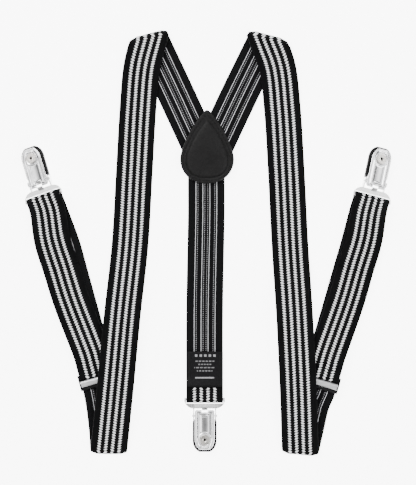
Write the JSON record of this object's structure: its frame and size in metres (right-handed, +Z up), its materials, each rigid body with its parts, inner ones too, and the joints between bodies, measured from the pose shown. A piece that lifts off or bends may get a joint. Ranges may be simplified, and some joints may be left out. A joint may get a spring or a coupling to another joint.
{
  "type": "suspenders",
  "caption": "Y-back elastic clip suspenders laid flat, with hinged metal clips, sliding cam adjusters and a leather back patch.",
  "frame": {"origin": "middle of the laid-out outline, on the surface it lies on", "axes": "+Z up off the surface, +Y towards the shoulder folds, +X to the right of the face side"},
  "size_m": [0.2514, 0.291, 0.0145],
  "materials": {
    "webbing": "matt black ribbed elastic webbing with white rope-twist stripes",
    "leather": "satin grained black leather",
    "label_cloth": "smooth black printed tape",
    "chrome": "polished",
    "eyelet_metal": "satin",
    "brushed_metal": "brushed",
    "black_metal": "black lacquer",
    "jaw_pad": "matt black"
  },
  "bodies": {
    "straps": {"patch_backing": "leather", "patch_top": "leather", "patch_dome": "leather", "left_yoke_strap": "webbing", "left_front_strap": "webbing", "left_tail_strap": "webbing", "left_loop_ply": "webbing", "right_yoke_strap": "webbing", "right_front_strap": "webbing", "right_tail_strap": "webbing", "right_loop_ply": "webbing", "back_strap": "webbing", "label": "label_cloth"},
    "left_clip": {"left_clip_base": "chrome", "left_clip_rear_pad": "jaw_pad", "left_clip_rear_rivet": "chrome", "left_clip_pin": "chrome"},
    "left_clip_jaw": {"left_clip_lever": "chrome", "left_clip_front_pad": "jaw_pad", "left_clip_eyelet": "eyelet_metal"},
    "right_clip": {"right_clip_base": "chrome", "right_clip_rear_pad": "jaw_pad", "right_clip_rear_rivet": "chrome", "right_clip_pin": "chrome"},
    "right_clip_jaw": {"right_clip_lever": "chrome", "right_clip_front_pad": "jaw_pad", "right_clip_eyelet": "eyelet_metal"},
    "back_clip": {"back_clip_base": "chrome", "back_clip_rear_pad": "jaw_pad", "back_clip_rear_rivet": "chrome", "back_clip_pin": "chrome"},
    "back_clip_jaw": {"back_clip_lever": "chrome", "back_clip_front_pad": "jaw_pad", "back_clip_eyelet": "eyelet_metal"},
    "left_adjuster": {"left_adjuster_frame": "black_metal", "left_adjuster_pin": "chrome", "left_sewn_end": "webbing"},
    "left_adjuster_cam": {"left_adjuster_lever": "brushed_metal"},
    "right_adjuster": {"right_adjuster_frame": "black_metal", "right_adjuster_pin": "chrome", "right_sewn_end": "webbing"},
    "right_adjuster_cam": {"right_adjuster_lever": "brushed_metal"}
  },
  "joints": [
    {"name": "left_clip_swing", "type": "hinge", "parent": "straps", "child": "left_clip", "pos_m": [-0.11006, 0.03064, 0.00818], "axis": [0.9003, 0.3065, 0.309], "range_deg": [-72, 88]},
    {"name": "left_clip_opening", "type": "hinge", "parent": "left_clip", "child": "left_clip_jaw", "pos_m": [-0.11354, 0.04142, 0.00762], "axis": [0.9003, 0.3065, 0.309], "range_deg": [0, 75]},
    {"name": "right_clip_swing", "type": "hinge", "parent": "straps", "child": "right_clip", "pos_m": [0.11204, 0.02964, 0.00818], "axis": [0.9203, -0.2397, -0.309], "range_deg": [-72, 88]},
    {"name": "right_clip_opening", "type": "hinge", "parent": "right_clip", "child": "right_clip_jaw", "pos_m": [0.11472, 0.04065, 0.00762], "axis": [0.9203, -0.2397, -0.309], "range_deg": [0, 75]},
    {"name": "back_clip_swing", "type": "hinge", "parent": "straps", "child": "back_clip", "pos_m": [-0.00111, -0.10646, 0.0026], "axis": [-1, 0, 0], "range_deg": [-80, 80]},
    {"name": "back_clip_opening", "type": "hinge", "parent": "back_clip", "child": "back_clip_jaw", "pos_m": [-0.00111, -0.11776, 0.0036], "axis": [-1, 0, 0], "range_deg": [0, 75]},
    {"name": "left_adjuster_slide", "type": "slide", "parent": "straps", "child": "left_adjuster", "axis": [-0.2639, 0.9646, 0], "range_m": [0, 0.05], "deforming": ["left_loop_ply"]},
    {"name": "left_adjuster_opening", "type": "hinge", "parent": "left_adjuster", "child": "left_adjuster_cam", "pos_m": [-0.07312, -0.09258, 0.0043], "axis": [-0.9646, -0.2639, 0], "range_deg": [0, 80]},
    {"name": "right_adjuster_slide", "type": "slide", "parent": "straps", "child": "right_adjuster", "axis": [0.2756, 0.9613, 0], "range_m": [0, 0.05], "deforming": ["right_loop_ply"]},
    {"name": "right_adjuster_opening", "type": "hinge", "parent": "right_adjuster", "child": "right_adjuster_cam", "pos_m": [0.07701, -0.09429, 0.0043], "axis": [-0.9613, 0.2756, 0], "range_deg": [0, 80]}
  ]
}
